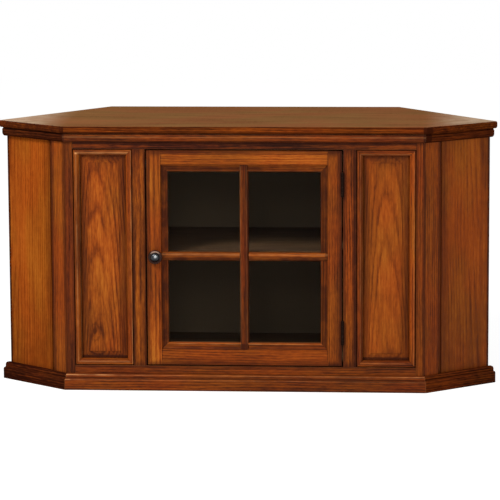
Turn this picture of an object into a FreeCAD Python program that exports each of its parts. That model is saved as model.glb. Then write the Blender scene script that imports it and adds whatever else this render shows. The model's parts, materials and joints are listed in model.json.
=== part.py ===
import FreeCAD, Part
import os
from types import SimpleNamespace
import Sketcher

# Corner television stand: a six-sided cabinet whose two back sides close into a room corner.
# Millimetres and degrees. +X is the viewer's right, the front looks along -Y, +Z is up.
# The origin is on the floor at the middle of the overall box, knob tip to rear edge.

driving_sizes = {
    "overall_width": 1180,         # top, corner to corner
    "overall_height": 625,
    "top_depth": 430,
    "side_run": 208.5,             # length of the top's canted side edge
    "side_angle": 37.5,            # cant of the side faces, degrees from the front plane
    "top_thick": 17,
    "top_overhang": 16,            # beyond the face frame and corner posts
    "back_overhang": 5,            # beyond the back sides and rear panel
    "top_round": 5,
    "top_under_round": 7,
    "frame_thick": 21,             # face frame and corner posts
    "post_flat": 42,               # flat face of a corner post on the canted side
    "post_cove_width": 13,
    "post_cove_depth": 7,
    "post_cove_round": 6,
    "panel_recess": 5,             # side panel behind the post face
    "back_side_thick": 12,
    "rear_thick": 6,
    "rear_low": 30,                # lower edge of the rear panel above the floor
    "floor_gap": 2,                # frame members stop short of the floor
    "frieze_height": 37.5,
    "base_rail_top": 57,
    "deck_thick": 16,
    "partition_thick": 16,
    "partition_setback": 1.5,
    "door_opening": 462.5,
    "inner_stile_width": 30.1,
    "outer_stile_width": 18.8,
    "cornice_height": 21,
    "cornice_out": 11,
    "cornice_round": 9.5,
    "quirk_height": 2.5,           # shadow line under the top
    "quirk_in": 3,
    "quirk_round": 2,
    "plinth_height": 27,
    "plinth_round": 4,
    "cap_height": 11,              # small moulding on the plinth board
    "cap_out": 9,
    "cap_round": 6,
    "cap_foot_round": 1.5,
    "panel_gap": 1.5,              # shadow gap round the applied panel moulding
    "moulding_width": 14,
    "moulding_thick": 14,
    "moulding_round": 10,
    "moulding_arris": 2,
    "panel_back_thick": 6,
    "bevel_width": 17,
    "bevel_drop": 5.8,
    "bevel_lip": 0.6,
    "field_step": 1.2,
    "door_side_gap": 3.5,
    "door_end_gap": 3,
    "door_thick": 20,
    "stile_flat": 32.25,
    "top_rail_flat": 32.8,
    "bottom_rail_flat": 35.5,
    "cove_width": 12,              # sticking of the door frame: cove, then a bead
    "cove_depth": 7,
    "cove_round": 6,
    "bead_width": 5,
    "bead_set": 5,
    "bead_round": 1.5,
    "glass_set": 12,
    "glass_thick": 4,
    "rebate_width": 8,
    "glass_clearance": 1,
    "glass_bead_round": 2,
    "muntin_width": 21,
    "muntin_set": 2.5,
    "muntin_round": 7.5,
    "bar_height_share": 0.506,     # height of the cross bar in the glazed opening
    "knob_out": 22,                # projection from the door face
    "knob_radius": 16.5,
    "knob_neck_radius": 7,
    "knob_neck_length": 7.5,
    "knob_rim_thick": 6,
    "knob_rim_round": 2.4,
    "knob_groove_radius": 12.5,
    "knob_groove_depth": 1.2,
    "knob_dome_radius": 11,
    "knob_dome_round": 8.2,
    "knob_inset": 20,              # knob centre from the door's free edge
    "knob_screw_radius": 2,
    "knob_screw_depth": 12,        # thread inside the knob
    "knob_screw_head_radius": 4.2,
    "knob_screw_head_thick": 2.4,
    "hinge_length": 57,
    "hinge_inset": 79,             # hinge middle from the door's end
    "knuckle_radius": 3.5,
    "knuckle_clearance": 0.3,
    "knuckle_end_gap": 0.2,
    "hinge_pin_radius": 1.2,
    "pin_clearance": 0.05,
    "pin_tip_radius": 2.6,
    "pin_tip_height": 1.6,
    "leaf_gap": 0.5,               # between the closed leaves
    "leaf_depth": 18,
    "hinge_screw_radius": 1.5,
    "hinge_screw_head_radius": 2.9,
    "hinge_screw_length": 13,
    "catch_width": 22,
    "catch_depth": 34,
    "catch_height": 18,
    "catch_drop": 34,              # catch middle below the door's top edge
    "catch_gap": 0.3,
    "catch_round": 1.5,
    "strike_plate_width": 15,
    "strike_plate_thick": 1.2,
    "strike_plate_margin": 1,
    "shelf_thick": 16,
    "shelf_front_set": 18,
    "shelf_back_gap": 6,
    "shelf_side_gap": 1,
    "shelf_pin_radius": 2.5,
    "shelf_pin_seat": 10,
    "shelf_pin_out": 8,
    "shelf_pin_inset": 45,
    "pin_hole_pitch": 32,
    "cable_hole_radius": 22,
    "cable_hole_drop": 27,         # hole centre below the board over it
    "glue_block": 28,
    "cut_overrun": 40,             # cutting shapes reach past what they cut
    "end_cut_run": 120,
}

shelf_pin_hole_rows = 5
hinge_screw_count = 3
hinge_knuckle_count = 5
quarter_turn = 90                  # degrees
matching_tolerance = 1e-4

document = FreeCAD.newDocument("CornerTelevisionStand")
sheet = document.addObject("Spreadsheet::Sheet", "Sizes")
for row, (alias, amount) in enumerate(driving_sizes.items(), start=1):
    sheet.set(f"A{row}", alias)
    sheet.set(f"B{row}", str(amount))
    sheet.setAlias(f"B{row}", alias)
document.recompute()


class Size:
    """A length, angle or share, kept as a formula over the sheet's cells."""

    def __init__(self, formula):
        self.formula = str(formula)

    def __add__(self, other):
        return Size(f"({self.formula} + {wording(other)})")

    def __sub__(self, other):
        return Size(f"({self.formula} - {wording(other)})")

    def __mul__(self, other):
        return Size(f"({self.formula} * {wording(other)})")

    def __truediv__(self, other):
        return Size(f"({self.formula} / {wording(other)})")

    def __neg__(self):
        return Size(f"(0 - {self.formula})")

    @property
    def value(self):
        return float(sheet.evalExpression(self.formula))


def wording(amount):
    return amount.formula if isinstance(amount, Size) else str(amount)


def cosine(angle):
    return Size(f"cos({angle.formula})")


def sine(angle):
    return Size(f"sin({angle.formula})")


def tangent(angle):
    return Size(f"tan({angle.formula})")


zero = Size(0)
even_slope = Size(1)               # a cut at 45 degrees
cell = SimpleNamespace(**{alias: Size(f"Sizes.{alias}") for alias in driving_sizes})
hands = (("left", -1), ("right", 1))
pieces = {}

# Plan of the cabinet, worked out from the driving sizes
side_cos = cosine(cell.side_angle)
side_sin = sine(cell.side_angle)
mitre_tan = tangent(cell.side_angle / 2)
knob_beyond = cell.knob_out - cell.top_overhang
top_front = (knob_beyond - cell.top_depth) / 2
top_back = top_front + cell.top_depth
top_front_half = cell.overall_width / 2 - cell.side_run * side_cos
face_y = top_front + cell.top_overhang
frame_back = face_y + cell.frame_thick
corner_x = top_front_half - cell.top_overhang * mitre_tan
rear_y = top_back - cell.back_overhang
rear_inner = rear_y - cell.rear_thick
side_end = cell.side_run - cell.top_overhang * mitre_tan
body_side_end = side_end - cell.back_overhang
back_inner = body_side_end - cell.back_side_thick
panel_start = cell.post_flat + cell.post_cove_width
inner_corner_x = corner_x - cell.frame_thick * mitre_tan

# Heights
carcase_top = cell.overall_height - cell.top_thick
frieze_low = carcase_top - cell.frieze_height
deck_top = cell.base_rail_top

# Front elevation
half_opening = cell.door_opening / 2
panel_inner_x = half_opening + cell.inner_stile_width
panel_outer_x = corner_x - cell.outer_stile_width
partition_inner = half_opening + cell.partition_setback
partition_outer = partition_inner + cell.partition_thick

# Door
door_half = half_opening - cell.door_side_gap
door_low = cell.base_rail_top + cell.door_end_gap
door_high = frieze_low - cell.door_end_gap
sticking = cell.cove_width + cell.bead_width
glazed_half = door_half - cell.stile_flat - sticking
glazed_low = door_low + cell.bottom_rail_flat + sticking
glazed_high = door_high - cell.top_rail_flat - sticking
bar_middle = glazed_low + (glazed_high - glazed_low) * cell.bar_height_share
glass_back = cell.glass_set + cell.glass_thick


def side_point(along, inward):
    """Plan point on the right side: along its face from the front corner, and inward from it."""
    across = corner_x + along * side_cos - inward * side_sin
    back = face_y + along * side_sin + inward * side_cos
    return across, back


def side_point_at(along, depth):
    """Plan point where the line at this distance along the right side reaches a given depth."""
    return side_point(along, (depth - face_y - along * side_sin) / side_cos)


def mirrored(corners, hand):
    return [(across * hand, back) for across, back in corners]


def both_sides(corners):
    """A symmetric outline from the corners of its right half, front to back."""
    return corners + mirrored(reversed(corners), -1)


def box_plan(low_x, high_x, low_y, high_y):
    return [(low_x, low_y), (high_x, low_y), (high_x, high_y), (low_x, high_y)]


# Building blocks

def new_body(label):
    body = document.addObject("PartDesign::Body", label)
    body.Label = label
    return body


def attached_sketch(body, name, plane, offset):
    sketch = body.newObject("Sketcher::SketchObject", name)
    for feature in body.Origin.OriginFeatures:
        if feature.Role == plane:
            sketch.AttachmentSupport = [(feature, "")]
    sketch.MapMode = "FlatFace"
    sketch.setExpression("AttachmentOffset.Base.z", offset.formula)
    return sketch


def fix_point(sketch, element, point, place):
    for kind, amount in zip(("DistanceX", "DistanceY"), place):
        rule = Sketcher.Constraint(kind, -1, 1, element, point, amount.value)
        index = sketch.addConstraint(rule)
        sketch.setExpression(f"Constraints[{index}]", amount.formula)


def outline(body, name, plane, corners, offset=zero):
    """A closed straight-sided sketch whose every corner is placed by the sheet."""
    sketch = attached_sketch(body, name, plane, offset)
    points = [FreeCAD.Vector(across.value, up.value, 0) for across, up in corners]
    count = len(points)
    for index in range(count):
        following = points[(index + 1) % count]
        sketch.addGeometry(Part.LineSegment(points[index], following))
    for index in range(count):
        sketch.addConstraint(Sketcher.Constraint("Coincident", index, 2, (index + 1) % count, 1))
    for index, corner in enumerate(corners):
        fix_point(sketch, index, 1, corner)
    return sketch


def rounds(body, name, plane, centres, radius, offset=zero):
    """A sketch of equal circles."""
    sketch = attached_sketch(body, name, plane, offset)
    for index, centre in enumerate(centres):
        middle = FreeCAD.Vector(centre[0].value, centre[1].value, 0)
        sketch.addGeometry(Part.Circle(middle, FreeCAD.Vector(0, 0, 1), radius.value))
        fix_point(sketch, index, 3, centre)
        rule = sketch.addConstraint(Sketcher.Constraint("Radius", index, radius.value))
        sketch.setExpression(f"Constraints[{rule}]", radius.formula)
    return sketch


def pad(body, sketch, length):
    feature = body.newObject("PartDesign::Pad", f"{sketch.Name}Pad")
    feature.Profile = sketch
    feature.setExpression("Length", length.formula)
    return feature


def pocket_through(body, sketch):
    feature = body.newObject("PartDesign::Pocket", f"{sketch.Name}Cut")
    feature.Profile = sketch
    feature.Type = "ThroughAll"
    feature.SideType = "Symmetric"
    return feature


def pocket_deep(body, sketch, depth, backwards=False):
    feature = body.newObject("PartDesign::Pocket", f"{sketch.Name}Cut")
    feature.Profile = sketch
    feature.setExpression("Length", depth.formula)
    feature.Reversed = backwards
    return feature


def chosen_edges(feature, wanted):
    document.recompute()
    edges = enumerate(feature.Shape.Edges, start=1)
    return [f"Edge{number}" for number, edge in edges if wanted(edge)]


def fillet(body, feature, radius, wanted):
    names = chosen_edges(feature, wanted)
    if not names:
        raise ValueError(f"no edge to round on {body.Label}")
    rounding = body.newObject("PartDesign::Fillet", "Round")
    rounding.Base = (feature, names)
    rounding.setExpression("Radius", radius.formula)
    return rounding


def same(one, other):
    return abs(one - other) < matching_tolerance


def edge_through(axis, *places):
    """Picks straight edges whose ends share the given coordinates: (letter, amount) pairs."""
    def wanted(edge):
        if len(edge.Vertexes) != 2:
            return False
        ends = [vertex.Point for vertex in edge.Vertexes]
        if same(getattr(ends[0], axis), getattr(ends[1], axis)):
            return False
        return all(same(getattr(end, letter), amount) for end in ends for letter, amount in places)
    return wanted


def place(piece, across=zero, back=zero, up=zero, turn=None):
    piece.Placement = FreeCAD.Placement(FreeCAD.Vector(), turn or FreeCAD.Rotation())
    for letter, amount in zip("xyz", (across, back, up)):
        piece.setExpression(f"Placement.Base.{letter}", amount.formula)


def prism(label, corners, low, high):
    """An upright board: a plan outline raised between two heights."""
    body = new_body(label)
    pad(body, outline(body, "Plan", "XY_Plane", corners, offset=low), high - low)
    return body


def keep(label, piece):
    """Enters a finished sub-part under its own name."""
    piece.Label = label
    pieces[label] = piece
    return piece


def bored(label, blank, tool):
    """The blank with the holes that its fasteners or pins fill."""
    cut = document.addObject("Part::Cut", f"{label}_bored")
    cut.Base = blank
    cut.Tool = tool
    blank.Label = f"{label}_blank"
    return keep(label, cut)


def coped(label, blank, members):
    """The blank with its ends cut to fit over the members they meet."""
    for member in members:
        cut = document.addObject("Part::Cut", f"{label}_coped")
        cut.Base = blank
        cut.Tool = member
        blank.Label = f"{label}_blank"
        blank = cut
    return keep(label, blank)


def group(label, members):
    """Equal small pieces kept together as separate solids."""
    compound = document.addObject("Part::Compound", label)
    compound.Links = members
    return keep(label, compound)


# Strips: mouldings and frame members with one section along local X.
# Section points are (inward, outward): local Y runs inward, local Z out of the face.

def mitre(slope):
    """An end cut that starts later the further inward, by slope."""
    return (-slope * cell.cut_overrun, -cell.cut_overrun, slope)


def cope(start, inward):
    """A square end whose part inside the given line is mitred at 45 degrees."""
    return (start, inward, even_slope)


def end_waste(body, name, cut, length=None):
    first, level, slope = cut
    run = cell.end_cut_run
    corners = [
        (first, level),
        (first + slope * run, level + run),
        (-run, level + run),
        (-run, level),
    ]
    if length is not None:
        corners = [(length - across, inward) for across, inward in corners]
    pocket_through(body, outline(body, name, "XY_Plane", corners))


def strip(label, length, section, start=None, end=None, reach=(zero, zero), rounded=()):
    body = new_body(label)
    profile = outline(body, "Section", "YZ_Plane", section, offset=-reach[0])
    last = pad(body, profile, length + reach[0] + reach[1])
    for inward, outward, radius in rounded:
        picked = edge_through("x", ("y", inward.value), ("z", outward.value))
        last = fillet(body, last, radius, picked)
    if start is not None:
        end_waste(body, "StartCut", start)
    if end is not None:
        end_waste(body, "EndCut", end, length)
    return body


def face_turn(quarter):
    """Sets a strip into the front face: 0 along the bottom, 1 right, 2 top, 3 left."""
    upright = FreeCAD.Rotation(FreeCAD.Vector(1, 0, 0), quarter_turn)
    return FreeCAD.Rotation(FreeCAD.Vector(0, -1, 0), quarter_turn * quarter) * upright


def face_frame_of_strips(names, low, high, section, rounded):
    """Four strips mitred round a rectangle in the front face: bottom, right, top, left."""
    width = high[0] - low[0]
    height = high[1] - low[1]
    starts = (low, (high[0], low[1]), high, (low[0], high[1]))
    cut = mitre(even_slope)
    for quarter, name in enumerate(names):
        length = height if quarter % 2 else width
        body = strip(name, length, section, cut, cut, rounded=rounded)
        place(body, starts[quarter][0], face_y, starts[quarter][1], face_turn(quarter))
        keep(name, body)


# Carcase

def make_top_panel():
    plan = both_sides([
        (top_front_half, top_front),
        (cell.overall_width / 2, top_front + cell.side_run * side_sin),
        side_point_at(side_end, top_back),
    ])
    body = prism("top_panel", plan, carcase_top, cell.overall_height)
    reach = (top_front + cell.side_run * side_sin).value

    def show_edge(height):
        def wanted(edge):
            ends = [vertex.Point for vertex in edge.Vertexes]
            level = all(same(end.z, height) for end in ends)
            return level and all(end.y < reach or same(end.y, reach) for end in ends)
        return wanted

    upper = fillet(body, body.Tip, cell.top_round, show_edge(cell.overall_height.value))
    fillet(body, upper, cell.top_under_round, show_edge(carcase_top.value))
    keep("top_panel", body)


def make_face_frame():
    for side, hand in hands:
        plan = [
            (panel_outer_x, face_y),
            (corner_x, face_y),
            (inner_corner_x, frame_back),
            (panel_outer_x, frame_back),
        ]
        label = f"outer_stile_{side}"
        keep(label, prism(label, mirrored(plan, hand), cell.floor_gap, carcase_top))
    rail_plan = box_plan(-panel_outer_x, panel_outer_x, face_y, frame_back)
    keep("frieze_rail", prism("frieze_rail", rail_plan, frieze_low, carcase_top))
    keep("bottom_rail", prism("bottom_rail", rail_plan, cell.floor_gap, cell.base_rail_top))
    strike_plan = box_plan(-panel_inner_x, -half_opening, face_y, frame_back)
    keep("strike_stile", prism("strike_stile", strike_plan, cell.base_rail_top, frieze_low))


def make_corner_posts():
    for side, hand in hands:
        label = f"corner_post_{side}"
        cove_corner = side_point(cell.post_flat, cell.post_cove_depth)
        plan = [
            side_point(zero, zero),
            side_point(cell.post_flat, zero),
            cove_corner,
            side_point(panel_start, cell.post_cove_depth),
            side_point(panel_start, cell.frame_thick),
            (inner_corner_x, frame_back),
        ]
        body = prism(label, mirrored(plan, hand), cell.floor_gap, carcase_top)
        spot = [("x", cove_corner[0].value * hand), ("y", cove_corner[1].value)]
        fillet(body, body.Tip, cell.post_cove_round, edge_through("z", *spot))
        keep(label, body)


def make_sides():
    for side, hand in hands:
        panel = [
            side_point(panel_start, cell.panel_recess),
            side_point(body_side_end, cell.panel_recess),
            side_point(body_side_end, cell.frame_thick),
            side_point(panel_start, cell.frame_thick),
        ]
        label = f"side_panel_{side}"
        keep(label, prism(label, mirrored(panel, hand), cell.floor_gap, carcase_top))
        back = [
            side_point(back_inner, cell.frame_thick),
            side_point(body_side_end, cell.frame_thick),
            side_point_at(body_side_end, rear_y),
            side_point_at(back_inner, rear_y),
        ]
        label = f"back_side_{side}"
        keep(label, prism(label, mirrored(back, hand), zero, carcase_top))


def make_rear_panel():
    plan = both_sides([side_point_at(back_inner, rear_inner), side_point_at(back_inner, rear_y)])
    body = prism("rear_panel", plan, cell.rear_low, carcase_top)
    heights = (shelf_low - cell.cable_hole_drop, frieze_low - cell.cable_hole_drop)
    centres = [(zero, height) for height in heights]
    pocket_through(body, rounds(body, "CableHoles", "XZ_Plane", centres, cell.cable_hole_radius))
    keep("rear_panel", body)


def make_deck_and_partitions():
    inside = both_sides([
        (inner_corner_x, frame_back),
        side_point(back_inner, cell.frame_thick),
        side_point_at(back_inner, rear_inner),
    ])
    keep("deck_panel", prism("deck_panel", inside, deck_top - cell.deck_thick, deck_top))
    lowest_hole = pin_height - cell.pin_hole_pitch * (shelf_pin_hole_rows - 1) / 2
    for side, hand in hands:
        label = f"partition_{side}"
        plan = box_plan(partition_inner, partition_outer, frame_back, rear_inner)
        body = prism(label, mirrored(plan, hand), deck_top, carcase_top)
        centres = [(depth, lowest_hole) for depth in pin_depths]
        start = partition_inner * hand
        holes = rounds(body, "PinHoles", "YZ_Plane", centres, cell.shelf_pin_radius, offset=start)
        cut = pocket_deep(body, holes, cell.shelf_pin_seat, backwards=hand > 0)
        document.recompute()
        pattern = body.newObject("PartDesign::LinearPattern", "HoleRows")
        pattern.Originals = [cut]
        pattern.Direction = (holes, ["V_Axis"])
        pattern.Mode = "Spacing"
        pattern.setExpression("Offset", cell.pin_hole_pitch.formula)
        pattern.Occurrences = shelf_pin_hole_rows
        body.Tip = pattern
        keep(label, body)


def make_glue_blocks():
    blocks = []
    edge = cell.glue_block
    for side, hand in hands:
        for end, depth in (("front", frame_back), ("rear", rear_inner - edge)):
            block = document.addObject("Part::Box", f"glue_block_{side}_{end}")
            for axis in ("Length", "Width", "Height"):
                block.setExpression(axis, edge.formula)
            across = partition_outer if hand > 0 else -partition_outer - edge
            place(block, across, depth, carcase_top - edge)
            blocks.append(block)
    group("glue_blocks", blocks)


# Mouldings round the front and the canted sides

def make_round_moulding(name, section, rounded, height, side_length):
    """Front and side lengths mitred at the cabinet's corners; the sides fill the panel recess."""
    outward = mitre(mitre_tan)
    reach = cell.cut_overrun
    ends = {
        "front": (corner_x * 2, outward, outward, (reach, reach)),
        "left": (side_length, None, outward, (zero, reach)),
        "right": (side_length, outward, None, (reach, zero)),
    }
    far_across = corner_x + side_length * side_cos
    starts = {
        "front": (-corner_x, face_y, None),
        "left": (-far_across, face_y + side_length * side_sin, FreeCAD.Vector(0, 0, -1)),
        "right": (corner_x, face_y, FreeCAD.Vector(0, 0, 1)),
    }
    for side, (length, start, end, reaches) in ends.items():
        label = f"{name}_{side}"
        inner = zero if side == "front" else cell.panel_recess
        points = [(inner, low) for low in (section[-1][1], section[0][1])] + section[1:-1]
        body = strip(label, length, points, start, end, reaches, rounded)
        across, back, axis = starts[side]
        if axis is None:
            place(body, across, back, height)
        else:
            post_notch(body, side, length)
            place(body, across, back, height, FreeCAD.Rotation(axis, cell.side_angle.value))
            body.setExpression("Placement.Rotation.Angle", cell.side_angle.formula)
        keep(label, body)


def post_notch(body, side, length):
    """The inner face steps forward where the moulding crosses the corner post."""
    if side == "right":
        ends = (-cell.cut_overrun, panel_start)
    else:
        ends = (length - panel_start, length + cell.cut_overrun)
    corners = box_plan(ends[0], ends[1], zero, cell.cut_overrun)
    pocket_through(body, outline(body, "PostNotch", "XY_Plane", corners))


def make_cornice():
    lip = cell.cornice_out - cell.quirk_in
    section = [
        (zero, -cell.cornice_height),
        (-cell.cornice_out, -cell.cornice_height),
        (-cell.cornice_out, -cell.quirk_height),
        (-lip, -cell.quirk_height),
        (-lip, zero),
        (zero, zero),
    ]
    rounded = [
        (-cell.cornice_out, -cell.cornice_height, cell.cornice_round),
        (-cell.cornice_out, -cell.quirk_height, cell.quirk_round),
    ]
    make_round_moulding("cornice", section, rounded, carcase_top, body_side_end)


def make_plinth():
    full = cell.plinth_height + cell.cap_height
    section = [
        (zero, zero),
        (-cell.top_overhang, zero),
        (-cell.top_overhang, cell.plinth_height),
        (-cell.cap_out, cell.plinth_height),
        (-cell.cap_out, full),
        (zero, full),
    ]
    rounded = [
        (-cell.top_overhang, cell.plinth_height, cell.plinth_round),
        (-cell.cap_out, cell.plinth_height, cell.cap_foot_round),
        (-cell.cap_out, full, cell.cap_round),
    ]
    make_round_moulding("plinth", section, rounded, zero, side_end)


# Fixed raised panels beside the door

def face_plate(body, name, low, high, out, length):
    """A rectangle in the front face at a distance out of it, raised by a length."""
    corners = box_plan(low[0], high[0], low[1], high[1])
    return pad(body, outline(body, name, "XZ_Plane", corners, offset=out), length)


def make_raised_panel(side, hand):
    label = f"raised_panel_{side}"
    nearer, further = sorted(
        (panel_inner_x * hand, panel_outer_x * hand),
        key=lambda amount: amount.value,
    )
    body = new_body(label)
    seat = -cell.moulding_thick
    plate_back = seat - cell.panel_back_thick
    face_plate(body, "Plate", (nearer, cell.base_rail_top), (further, frieze_low),
               plate_back, cell.panel_back_thick)
    margin = cell.panel_gap + cell.moulding_width
    low = (nearer + margin, cell.base_rail_top + margin)
    high = (further - margin, frieze_low - margin)
    block_high = cell.bevel_lip + cell.bevel_drop
    block = face_plate(body, "Bevelled", low, high, seat, block_high)
    front_y = (cell.moulding_thick - block_high).value

    def in_front(shape):
        return all(same(vertex.Point.y, front_y) for vertex in shape.Vertexes)

    slope = body.newObject("PartDesign::Chamfer", "Bevel")
    slope.Base = (block, chosen_edges(block, in_front))
    slope.ChamferType = "Two distances"
    slope.setExpression("Size", cell.bevel_drop.formula)
    slope.setExpression("Size2", cell.bevel_width.formula)
    document.recompute()
    field = [face for face in slope.Shape.Faces if in_front(face)][0]
    field_width = (high[0] - low[0] - cell.bevel_width * 2).value
    slope.FlipDirection = not same(field.BoundBox.XLength, field_width)
    inset = cell.bevel_width
    face_plate(body, "Field", (low[0] + inset, low[1] + inset), (high[0] - inset, high[1] - inset),
               seat + block_high, cell.field_step)
    place(body, back=face_y)
    keep(label, body)

    gap = cell.panel_gap
    section = [
        (zero, -cell.moulding_thick),
        (cell.moulding_width, -cell.moulding_thick),
        (cell.moulding_width, zero),
        (zero, zero),
    ]
    rounded = [
        (cell.moulding_width, zero, cell.moulding_round),
        (zero, zero, cell.moulding_arris),
    ]
    names = [f"panel_moulding_{side}_{edge}" for edge in ("bottom", "right", "top", "left")]
    face_frame_of_strips(names, (nearer + gap, cell.base_rail_top + gap),
                         (further - gap, frieze_low - gap), section, rounded)


# Door

def door_section(flat):
    """Flat member with a cove and bead along its inner edge, rebated behind for the glass."""
    edge = flat + sticking
    bead = flat + cell.cove_width
    return [
        (zero, -cell.door_thick),
        (edge - cell.rebate_width, -cell.door_thick),
        (edge - cell.rebate_width, -cell.glass_set),
        (edge, -cell.glass_set),
        (edge, -cell.bead_set),
        (bead, -cell.bead_set),
        (bead, -cell.cove_depth),
        (flat, -cell.cove_depth),
        (flat, zero),
        (zero, zero),
    ]


def door_rounds(flat):
    bead = flat + cell.cove_width
    return [
        (flat, -cell.cove_depth, cell.cove_round),
        (bead, -cell.bead_set, cell.bead_round),
        (flat + sticking, -cell.bead_set, cell.bead_round),
    ]


def make_door_member(label, length, flat, start, end, across, up, quarter):
    body = strip(label, length, door_section(flat), start, end, rounded=door_rounds(flat))
    place(body, across, face_y, up, face_turn(quarter))
    return body


def make_door_frame():
    height = door_high - door_low
    top_cope = cope(cell.top_rail_flat, cell.stile_flat)
    bottom_cope = cope(cell.bottom_rail_flat, cell.stile_flat)
    hinge_stile = make_door_member("door_stile_hinge", height, cell.stile_flat,
                                   bottom_cope, top_cope, door_half, door_low, 1)
    knob_stile = make_door_member("door_stile_knob", height, cell.stile_flat,
                                  top_cope, bottom_cope, -door_half, door_high, 3)
    span = (door_half - cell.stile_flat) * 2
    rails = (
        ("door_rail_bottom", cell.bottom_rail_flat, -span / 2, door_low, 0),
        ("door_rail_top", cell.top_rail_flat, span / 2, door_high, 2),
    )
    for label, flat, across, up, quarter in rails:
        ends = cope(zero, flat)
        keep(label, make_door_member(label, span, flat, ends, ends, across, up, quarter))
    return knob_stile, hinge_stile


def make_muntins(knob_stile, hinge_stile):
    section = [
        (zero, -cell.glass_set),
        (cell.muntin_width, -cell.glass_set),
        (cell.muntin_width, -cell.muntin_set),
        (zero, -cell.muntin_set),
    ]
    rounded = [
        (zero, -cell.muntin_set, cell.muntin_round),
        (cell.muntin_width, -cell.muntin_set, cell.muntin_round),
    ]
    half = cell.muntin_width / 2
    upright = strip("muntin_upright", glazed_high - glazed_low, section,
                    reach=(sticking, sticking), rounded=rounded)
    place(upright, half, face_y, glazed_low, face_turn(1))
    coped("muntin_upright", upright, (pieces["door_rail_bottom"], pieces["door_rail_top"]))
    bars = (
        ("muntin_bar_left", -glazed_half, (sticking, zero), knob_stile),
        ("muntin_bar_right", half, (zero, sticking), hinge_stile),
    )
    for label, across, reach, stile in bars:
        bar = strip(label, glazed_half - half, section, reach=reach, rounded=rounded)
        place(bar, across, face_y, bar_middle - half, face_turn(0))
        coped(label, bar, (stile,))


def make_door_glass():
    rim = cell.rebate_width - cell.glass_clearance
    pane = new_body("door_glass")
    face_plate(pane, "Pane", (-glazed_half - rim, glazed_low - rim),
               (glazed_half + rim, glazed_high + rim), -glass_back, cell.glass_thick)
    place(pane, back=face_y)
    keep("door_glass", pane)
    section = [
        (zero, -cell.door_thick),
        (cell.rebate_width, -cell.door_thick),
        (cell.rebate_width, -glass_back),
        (zero, -glass_back),
    ]
    rounded = [(cell.rebate_width, -cell.door_thick, cell.glass_bead_round)]
    names = [f"glass_bead_{edge}" for edge in ("bottom", "right", "top", "left")]
    low = (-glazed_half - cell.rebate_width, glazed_low - cell.rebate_width)
    high = (glazed_half + cell.rebate_width, glazed_high + cell.rebate_width)
    face_frame_of_strips(names, low, high, section, rounded)


# Knob

def turn_forward():
    """Turns a piece made along +Z to point out of the front."""
    return FreeCAD.Rotation(FreeCAD.Vector(1, 0, 0), quarter_turn)


def make_knob(stile):
    rim_start = cell.knob_neck_length
    rim_end = rim_start + cell.knob_rim_thick
    groove = rim_end - cell.knob_groove_depth
    body = new_body("knob")
    profile = outline(body, "Turning", "XZ_Plane", [
        (zero, zero),
        (cell.knob_neck_radius, zero),
        (cell.knob_neck_radius, rim_start),
        (cell.knob_radius, rim_start),
        (cell.knob_radius, rim_end),
        (cell.knob_groove_radius, rim_end),
        (cell.knob_groove_radius, groove),
        (cell.knob_dome_radius, groove),
        (cell.knob_dome_radius, cell.knob_out),
        (zero, cell.knob_out),
    ])
    turned = body.newObject("PartDesign::Revolution", "Turned")
    turned.Profile = profile
    turned.ReferenceAxis = (profile, ["V_Axis"])

    def ring(radius, height):
        def wanted(edge):
            curve = edge.Curve
            round_edge = isinstance(curve, Part.Circle) and same(curve.Radius, radius.value)
            return round_edge and same(curve.Center.z, height.value)
        return wanted

    last = fillet(body, turned, cell.knob_rim_round, ring(cell.knob_radius, rim_end))
    last = fillet(body, last, cell.knob_rim_round, ring(cell.knob_radius, rim_start))
    fillet(body, last, cell.knob_dome_round, ring(cell.knob_dome_radius, cell.knob_out))
    across = cell.knob_inset - door_half
    place(body, across, face_y, bar_middle, turn_forward())

    shank_length = cell.door_thick + cell.knob_screw_depth
    shank = round_bar("knob_screw_shank", cell.knob_screw_radius, shank_length)
    head = round_bar("knob_screw_head", cell.knob_screw_head_radius, cell.knob_screw_head_thick)
    place(head, up=-cell.knob_screw_head_thick)
    screw = document.addObject("Part::Fuse", "knob_screw")
    screw.Base = shank
    screw.Tool = head
    place(screw, across, face_y + cell.door_thick, bar_middle, turn_forward())
    keep("knob_screw", screw)
    bored("knob", body, screw)
    bored("door_stile_knob", stile, screw)


def round_bar(name, radius, height):
    bar = document.addObject("Part::Cylinder", name)
    bar.setExpression("Radius", radius.formula)
    bar.setExpression("Height", height.formula)
    return bar


# Hinges: each in its own frame, pin along +Z, origin at the pin's axis and the barrel's foot

hinge_axis_x = half_opening - cell.door_side_gap / 2
hinge_axis_y = face_y - cell.knuckle_radius
leaf_thick = (cell.door_side_gap - cell.leaf_gap) / 2
hinge_feet = {
    "upper": door_high - cell.hinge_inset - cell.hinge_length / 2,
    "lower": door_low + cell.hinge_inset - cell.hinge_length / 2,
}


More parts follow.
